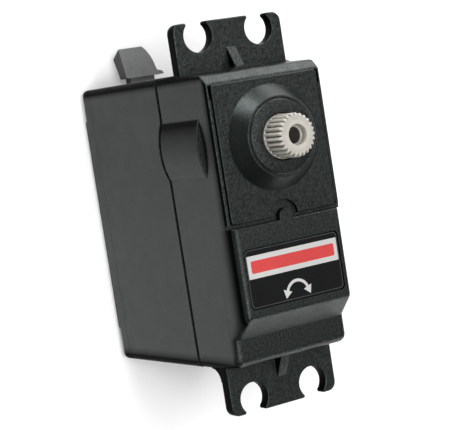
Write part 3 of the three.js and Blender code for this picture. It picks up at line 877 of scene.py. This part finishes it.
def bulge_slot(side):
    """The arched slot over a bulge, where the gear room comes close to the wall."""
    arch = []
    for step in range(17):
        x = -SLOT_HALF + 2 * SLOT_HALF * step / 16
        arch.append((OUTPUT_X + x, BULGE_TOP + 0.02 + SLOT_RISE * (1 - (x / SLOT_HALF) ** 2)))
    arch += [(OUTPUT_X + x, BULGE_TOP + 0.01) for x in (SLOT_HALF, -SLOT_HALF)]
    return prism("slot", arch, sorted((side * 8.5, side * 10)), "Y")


def bulges():
    """The upper halves of the two side bulges, and the shallow one on the end wall."""
    joined = []
    for side in (-1, 1):
        bulge = prism_mesh(bulge_outline(side), (SEAM_HIGH + 0.03, BULGE_TOP))
        soften(bulge, 0.14, flat_at(BULGE_TOP), 3)
        joined.append(object_from("bulge", bulge))
    return [*joined, prism("bulge", end_bulge_outline(), (28.5, BULGE_TOP))]


def upper_case():
    """The gear cover with its label box, bulges and bore; the tongue is a piece of its own."""
    piece = upper_block()
    combine(piece, [label_box(), *bulges()], "UNION")
    step = 37.5
    bore = [
        (0, INSIDE),
        (BORE_RADIUS, INSIDE),
        (BORE_RADIUS, step),
        (BOSS_BORE + 0.05, step),
        (BOSS_BORE + 0.05, ABOVE),
        (0, ABOVE),
    ]
    cuts = [*(bulge_slot(side) for side in (-1, 1)), *label_recess()]
    combine(piece, [*cuts, upper_cavity(), turned("bore", bore, 64)])
    tongue()
    return case_piece(piece)


def front_plate():
    """The raised, grained plate around the boss, notched for the tongue of the label frame."""
    x0, x1 = PLATE_X
    spread = math.degrees(math.asin((x1 - TONGUE_X) / NOTCH_RADIUS))
    notch = arc((TONGUE_X, 0), NOTCH_RADIUS, 90 - spread, 270 + spread, 32)
    outline = [
        *arc((x0 + 0.4, -PLATE_Y + 0.4), 0.4, 180, 270, 5),
        *arc((x1 - 0.7, -PLATE_Y + 0.7), 0.7, 270, 360, 6),
        *reversed(notch),
        *arc((x1 - 0.7, PLATE_Y - 0.7), 0.7, 0, 90, 6),
        *arc((x0 + 0.4, PLATE_Y - 0.4), 0.4, 90, 180, 5),
    ]
    mesh = prism_mesh(outline, (RIM_TOP - 0.6, PLATE_TOP))
    soften(mesh, 0.14, flat_at(PLATE_TOP), 3)
    piece = object_from("front_plate", mesh)
    combine(piece, [prism("bore", circle(BORE_RADIUS, (OUTPUT_X, 0), 64), (INSIDE, ABOVE))])
    return case_piece(piece)


def boss():
    """Conical boss with a turned ring on its flat top."""
    top = BOSS_TOP
    profile = [
        (BOSS_BORE, 35.2),
        (7.35, 35.2),
        (7.3, PLATE_TOP - 0.05),
        (7.12, PLATE_TOP + 0.08),
        (5.62, top - 0.28),
        (5.5, top - 0.16),
        (5.32, top - 0.13),
        (5.22, top - 0.2),
        (5.1, top - 0.2),
        (5.0, top - 0.06),
        (4.9, top),
        (BOSS_BORE + 0.18, top),
        (BOSS_BORE, top - 0.15),
        (BOSS_BORE, 35.2),
    ]
    return case_piece(turned("output_boss", profile, 128))


def label_recess():
    """The label's seat, with a deeper slit around it."""
    outline = rectangle(RECESS_X, (-RECESS_Y, RECESS_Y), 0.7)
    seat = prism("seat", outline, (LABEL_LOW.z - 0.05, ABOVE))
    slit = prism("slit", outline, (LABEL_LOW.z - 0.5, ABOVE))
    x = (RECESS_X[0] + 0.3, RECESS_X[1] - 0.3)
    y = (-RECESS_Y + 0.3, RECESS_Y - 0.3)
    combine(slit, [prism("pad", rectangle(x, y, 0.5), (INSIDE, ABOVE + 1))])
    return [seat, slit]


def tongue():
    """The round-ended tongue of the label box, reaching into the plate's notch."""
    span = (35.0, FRAME_TOP - 0.02)
    on_top = flat_at(span[1])
    end = prism_mesh(circle(TONGUE_RADIUS, (TONGUE_X, 0), 40), span)
    soften(end, 0.15, on_top, 3)
    outline = rectangle((TONGUE_X, FRAME_X[0] + 0.6), (-TONGUE_RADIUS, TONGUE_RADIUS), 0)
    neck = prism_mesh(outline, span)
    soften(neck, 0.15, lambda e: on_top(e) and abs(e.verts[0].co.y - e.verts[1].co.y) < 0.1, 3)
    piece = combine(object_from("label_tongue", end), [object_from("neck", neck)], "UNION")
    return case_piece(piece)


def ear_outline(side):
    """Plan of one ear, with its two slots open to the end."""
    tip = EAR_HALF_X
    x, y = tip - EAR_CORNER, EAR_HALF_Y - EAR_CORNER
    reach = math.degrees(math.asin(SLOT_MOUTH / SLOT_RADIUS))
    mouth = SLOT_MOUTH + MOUTH_CORNER
    outline = [(EAR_ROOT, -EAR_HALF_Y), *arc((x, -y), EAR_CORNER, 270, 360, 8)]
    for slot in (-SLOT_Y, SLOT_Y):
        outline += arc((tip - MOUTH_CORNER, slot - mouth), MOUTH_CORNER, 0, 90, 4)
        outline += arc((SLOT_X, slot), SLOT_RADIUS, 360 - reach, reach, 36)
        outline += arc((tip - MOUTH_CORNER, slot + mouth), MOUTH_CORNER, 270, 360, 4)
    outline += [*arc((x, y), EAR_CORNER, 0, 90, 8), (EAR_ROOT, EAR_HALF_Y)]
    return [(side * px, py) for px, py in outline]


def ears():
    """Both ears, each with a rib on its top."""
    bottom, top = (flat_at(z) for z in EAR_Z)
    rib_profile = [(19.2, 28.7), (23.3, 28.7), (23.2, 28.98), (20.1, 30.75), (19.2, 30.8)]
    for side, name in ((-1, "ear_output_end"), (1, "ear_label_end")):
        ear = prism_mesh(ear_outline(side), EAR_Z)
        soften(ear, 0.24, lambda e: bottom(e) or top(e), 3)
        case_piece(object_from(name, ear))
        rib = prism_mesh([(side * x, z) for x, z in rib_profile], (-RIB_HALF, RIB_HALF), "Y")
        soften(rib, 0.12, lambda e: sharp(e) and max(v.co.z for v in e.verts) > 28.9, 3)
        case_piece(object_from(name + "_rib", rib))


def ear_web():
    """Round fillet under the ear at the label end."""
    edge = HALF_X - 0.3
    x, z = HALF_X + WEB_RADIUS, EAR_Z[0] - WEB_RADIUS
    curve = arc((x, z), WEB_RADIUS, 180, 90, 12)
    profile = [(edge, z), *curve, (x, EAR_Z[0] + 0.3), (edge, EAR_Z[0] + 0.3)]
    return case_piece(prism("ear_web", profile, (-EAR_HALF_Y + 0.02, EAR_HALF_Y - 0.02), "Y"))


# ---- Label ----


def label_piece(piece, material):
    return finish_piece(piece, material, "case", "label_film", "label_plate")


def printed(name, outline, rise=PRINT_RISE):
    """A layer of print, standing a hair above the film."""
    return prism(name, outline, (LABEL_HIGH.z - PRINT_DEPTH, LABEL_HIGH.z + rise))


def label():
    """The label film with a plain white band, a red bar, a sign for turning, and a lighter ring round
    the film painted as its edge highlight.
    """
    x = (RECESS_X[0] + LABEL_GAP, RECESS_X[1] - LABEL_GAP)
    y = (-RECESS_Y + LABEL_GAP, RECESS_Y - LABEL_GAP)
    top = LABEL_HIGH.z
    mesh = prism_mesh(rectangle(x, y, 0.6), (LABEL_LOW.z, top))
    soften(mesh, 0.05, flat_at(top), 2)
    label_piece(object_from("label_film", mesh), LABEL_BLACK)
    # a lighter ring round the film: painted highlight along its edge
    border = prism("label_border", rectangle(x, y, 0.6), (top - 0.15, top + 0.012))
    inside = rectangle((x[0] + LABEL_RIM, x[1] - LABEL_RIM), (y[0] + LABEL_RIM, y[1] - LABEL_RIM), 0.5)
    combine(border, [prism("inside", inside, (INSIDE, ABOVE + 1))])
    label_piece(border, LABEL_EDGE_HIGHLIGHT)
    label_piece(printed("label_band", rectangle(*BAND, 0.1)), LABEL_WHITE)
    label_piece(printed("label_bar", rectangle(*BAR, 0.25), PRINT_RISE + 0.01), LABEL_RED)
    turn_sign()


def turn_sign():
    """A plain double arrow that shows the shaft turns both ways."""
    start, end = SIGN_ENDS
    inner = arc(SIGN_CENTRE, SIGN_RADIUS - SIGN_LINE, start, end, 20)
    outer = arc(SIGN_CENTRE, SIGN_RADIUS + SIGN_LINE, end, start, 20)
    sign = printed("label_sign", inner + outer)
    heads = []
    for angle in SIGN_ENDS:
        turn = math.copysign(1, 180 - angle)
        a = math.radians(angle)
        radial = Vector((math.cos(a), math.sin(a)))
        along = Vector((radial.y, -radial.x)) * turn
        foot = SIGN_CENTRE + radial * SIGN_RADIUS
        heads.append(printed("head", [foot + radial * 0.7, foot - radial * 0.7, foot + along * 1.1]))
    combine(sign, heads, "UNION")
    label_piece(sign, LABEL_WHITE)


# ---- Output gear and spline ----


def spline_ring(inset, depth):
    """One section of the spline, shrunk by inset, its grooves cut to a share of their full depth."""
    points = []
    count = TEETH * TOOTH_STEPS
    for step in range(count):
        crest = abs(math.cos(math.pi * step / TOOTH_STEPS)) ** 0.85
        radius = SPLINE_RADIUS - inset - (SPLINE_RADIUS - ROOT_RADIUS) * depth * (1 - crest)
        angle = 2 * math.pi * step / count
        points.append((OUTPUT_X + radius * math.cos(angle), radius * math.sin(angle)))
    return points


def spline_mesh():
    """The spline, its tooth tips rounded over into the end face."""
    bm = bmesh.new()
    sections = [
        (BOSS_TOP - 0.3, 0, 1),
        (SPLINE_TOP - 0.42, 0, 1),
        (SPLINE_TOP - 0.24, 0.07, 0.9),
        (SPLINE_TOP - 0.09, 0.2, 0.7),
        (SPLINE_TOP, 0.4, 0.45),
    ]
    rings = [[bm.verts.new((*p, z)) for p in spline_ring(inset, depth)] for z, inset, depth in sections]
    for low, high in zip(rings, rings[1:]):
        for i in range(len(low)):
            bm.faces.new((low[i - 1], low[i], high[i], high[i - 1]))
    bm.faces.new(rings[0])
    bm.faces.new(rings[-1])
    bmesh.ops.recalc_face_normals(bm, faces=bm.faces)
    return bm


def output_gear():
    """Output gear, shaft and spline in one moulding."""
    piece = object_from("output_shaft", spline_mesh())
    body = [
        (0, 23.9),
        (2.0, 23.9),
        (2.0, WHEEL_Z[0]),
        (4.6, WHEEL_Z[0]),
        (4.6, 33.1),
        (3.0, 33.1),
        (3.0, 38.1),
        (0, 38.1),
    ]
    combine(piece, [turned("body", body, 65)], "UNION")
    bore = [(0, 36), (1.0, 36), (1.08, 40.6), (1.32, 40.75), (1.36, 41.45), (1.6, 42), (0, 42)]
    socket = [(0, 23), (1.05, 23), (1.05, 27.2), (0, 27.2)]
    combine(piece, [turned("cut", profile, 48) for profile in (bore, socket)])
    finish_piece(piece, NYLON, "output", "gear_nylon", "output_gear")
    wheel = object_from("output_wheel", wheel_mesh())
    finish_piece(wheel, NYLON, "output", "gear_nylon", "output_gear")


def wheel_mesh():
    """The output gear's spur wheel, one tooth space facing straight along the case."""
    pitch = WHEEL_TEETH * WHEEL_MODULE / 2
    root, tip = pitch - 1.2 * WHEEL_MODULE, pitch + 0.85 * WHEEL_MODULE
    flank = ((root, 0.36), (pitch, 0.24), (tip, 0.12))
    outline = []
    for tooth in range(WHEEL_TEETH):
        middle = tooth + 0.5
        for radius, share in (*[(r, -s) for r, s in flank], *reversed(flank)):
            angle = 2 * math.pi * (middle + share) / WHEEL_TEETH
            outline.append((OUTPUT_X + radius * math.cos(angle), radius * math.sin(angle)))
    bottom, top = (flat_at(z) for z in WHEEL_Z)
    return soften(prism_mesh(outline, WHEEL_Z), ROUND_EDGE, lambda e: bottom(e) or top(e), 1)


# ---- Strain relief ----


def boot_piece(piece):
    return finish_piece(piece, BOOT, "case", "boot_rubber", "cable_boot")


def boot_tab():
    """The wedge-shaped tab outside the wall, wider at its foot."""
    low, high = BOOT_Y
    outline = [
        (BOOT_ROOT, low),
        (BOOT_ROOT, high + 1.03),
        (-21.5, high + 1.0),
        (-21.75, high + 0.75),
        (-21.9, high + 0.05),
        (-22.5, high - 0.05),
        (-23.3, high - 0.16),
        (-24.2, high - 0.42),
        (-25.1, high - 0.88),
        (-25.72, high - 1.42),
        (-25.72, low),
    ]
    tab = prism_mesh(outline, (1, 6))
    soften(tab, 0.16, lambda e: sharp(e, 25) and abs(e.verts[0].co.z - e.verts[1].co.z) > 1, 3)
    piece = object_from("cable_boot_tab", tab)
    side = [(BOOT_ROOT, 2.97), (-24.35, 1.68), (-25.73, 3.7), (BOOT_ROOT, 4.95)]
    combine(piece, [prism("wedge", side, (low - 1, high + 2), "Y")], "INTERSECT")
    return edge_round(piece, 0.17, 40, 3)


def cable_boot():
    """Strain relief: the tab, and the neck and flange that hold it in the wall."""
    low, high = BOOT_Y
    boot_piece(boot_tab())
    neck = rectangle((-21.4, -18.6), (low + 0.7, high - 0.6), 0.2)
    boot_piece(prism("cable_boot_neck", neck, (3.3, 4.7)))
    flange = rectangle((-19.1, -18.3), (low, high), 0.2)
    boot_piece(prism("cable_boot_flange", flange, (4.4, 6)))


# ---- Screws ----


def screw_mesh(centre, low, tip):
    """Pan head with a rounded rim over a plain shank."""
    seat = SCREW_SEAT - 0.04
    profile = [
        (0, low),
        (HEAD_RADIUS - 0.25, low),
        (HEAD_RADIUS, low + 0.2),
        (HEAD_RADIUS, seat),
        (SHANK_RADIUS, seat),
        (SHANK_RADIUS, tip - 0.6),
        (0.3, tip),
        (0, tip),
    ]
    return lathe_mesh(profile, centre, 48)


def case_screws():
    long, short = CROSS_SLOT
    for i, (x, y) in enumerate(corner_places()):
        node = f"case_screw_{i + 1}"
        low, high = cad(node)
        piece = object_from(f"{node}_body", screw_mesh((x, y), low.z, high.z))
        cross = []
        for a, b in ((long, short), (short, long)):
            outline = rectangle((x - a, x + a), (y - b, y + b), 0.1, 3)
            cross.append(prism("cross", outline, (0, low.z + 0.5)))
        combine(piece, cross)
        edge_round(piece, 0.04, 40)
        finish_piece(piece, STEEL, "case", "screw_steel", node)


# ---- CAD nodes that stay ----

KEPT = {
    "output_bushing": BRASS,
    "gear_pin": STEEL,
    "first_gear": NYLON,
    "second_gear": NYLON,
    "third_gear": NYLON,
    "motor_can": CAN_STEEL,
    "motor_end_cap": RESIN,
    "motor_bushing": BRASS,
    "motor_magnet_a": FERRITE,
    "motor_magnet_b": FERRITE,
    "rotor_shaft": STEEL,
    "rotor_core": LAMINATION,
    "rotor_coil_1": COPPER,
    "rotor_coil_2": COPPER,
    "rotor_coil_3": COPPER,
    "commutator": COPPER,
    "motor_brush_a": COPPER,
    "motor_brush_b": COPPER,
    "motor_terminal_a": BRASS,
    "motor_terminal_b": BRASS,
    "motor_screw_a": STEEL,
    "motor_screw_b": STEEL,
    "motor_pinion": BRASS,
    "potentiometer_body": BOARD,
    "potentiometer_shaft": STEEL,
    "potentiometer_wire_1": WIRE,
    "potentiometer_wire_2": WIRE,
    "potentiometer_wire_3": WIRE,
    "circuit_board": BOARD,
    "control_chip": RESIN,
    "driver_chip_a": RESIN,
    "driver_chip_b": RESIN,
    "capacitor": CAN_STEEL,
}


def kept_nodes():
    """Materials for the CAD nodes that stay, with flats merged and a hair of bevel on their edges."""
    for name, material in KEPT.items():
        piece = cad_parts[name]
        for material_slot in piece.material_slots:
            material_slot.material = material
        merge = piece.modifiers.new("flats", "DECIMATE")
        merge.decimate_type = "DISSOLVE"
        merge.angle_limit = math.radians(1)
        bevel = piece.modifiers.new("edges", "BEVEL")
        bevel.width = 0.05 * MM
        bevel.segments = 2
        bevel.limit_method = "ANGLE"
        bevel.angle_limit = math.radians(40)


# ---- Stage ----


def plain_stage():
    """A sheet of white paper under the case."""
    floor = prism("floor", rectangle((-1500, 1500), (-1500, 1500), 0), (-3, 0))
    n = Nodes("floor_paper")
    colour = n.blend(n.spread(n.noise(90, 2), 0, 1), "Result", (0.9, 0.9, 0.9), (0.92, 0.92, 0.92))
    n.link(colour, "Result", n.shader, "Base Color")
    n.shader.inputs["Roughness"].default_value = 0.9
    n.shader.inputs["Specular IOR Level"].default_value = 0.1
    floor.data.materials.append(n.material)


# Softboxes aimed at the case: name, place and size in millimetres, power in watts
LIT_POINT = Vector((0, 0, 20))
SOFTBOXES = (
    ("overhead", (0, -190, 640), (420, 420), 4.7),
    ("end", (-400, -110, 105), (200, 160), 1.15),
    ("front", (60, 300, 470), (360, 300), 0.26),
    ("far_end", (-170, 270, 380), (200, 160), 0.26),
    ("right", (380, 240, 70), (240, 160), 0.5),
    ("left", (-380, 260, 60), (240, 160), 0.9),
    ("left_high", (-330, 260, 230), (240, 160), 0.6),
)
WORLD_STRENGTH = 0.03


def softbox(name, place, size, power):
    light = bpy.data.lights.new(name, "AREA")
    light.shape = "RECTANGLE"
    light.size, light.size_y = [s * MM for s in size]
    light.energy = power
    lamp = new_object(name, light)
    lamp.location = Vector(place) * MM
    lamp.rotation_euler = (LIT_POINT - Vector(place)).to_track_quat("-Z", "Y").to_euler()
    return lamp


def lights():
    for settings in SOFTBOXES:
        softbox(*settings)
    world = bpy.data.worlds.new("studio")
    world.use_nodes = True
    background = world.node_tree.nodes["Background"]
    background.inputs["Color"].default_value = (1, 1, 1, 1)
    background.inputs["Strength"].default_value = WORLD_STRENGTH
    bpy.context.scene.world = world
    bpy.context.scene.view_settings.view_transform = "Standard"


# Camera: above the case's long side, rolled so that the output end is at the top of the image
CAMERA_PLACE = Vector((-18.9, -125.9, 222.2))
CAMERA_TARGET = Vector((0.50, 1.66, 18))
CAMERA_UP = Vector((-0.9847, 0.1735, 0.0148))
CAMERA_LENS = 133.24


def camera():
    data = bpy.data.cameras.new("camera")
    data.lens = CAMERA_LENS
    data.sensor_width = 36
    data.sensor_fit = "HORIZONTAL"
    data.clip_start = 0.01
    data.clip_end = 20
    piece = new_object("camera", data)
    back = (CAMERA_PLACE - CAMERA_TARGET).normalized()
    right = CAMERA_UP.cross(back).normalized()
    turn = Matrix((right, back.cross(right), back)).transposed().to_4x4()
    piece.matrix_world = Matrix.Translation(CAMERA_PLACE * MM) @ turn
    bpy.context.scene.camera = piece


def corners(box):
    return [[float(value) for value in corner] for corner in box]


bottom_cover()
lower_case()
upper_case()
front_plate()
boss()
ears()
ear_web()
label()
output_gear()
cable_boot()
case_screws()
kept_nodes()
plain_stage()
lights()
camera()
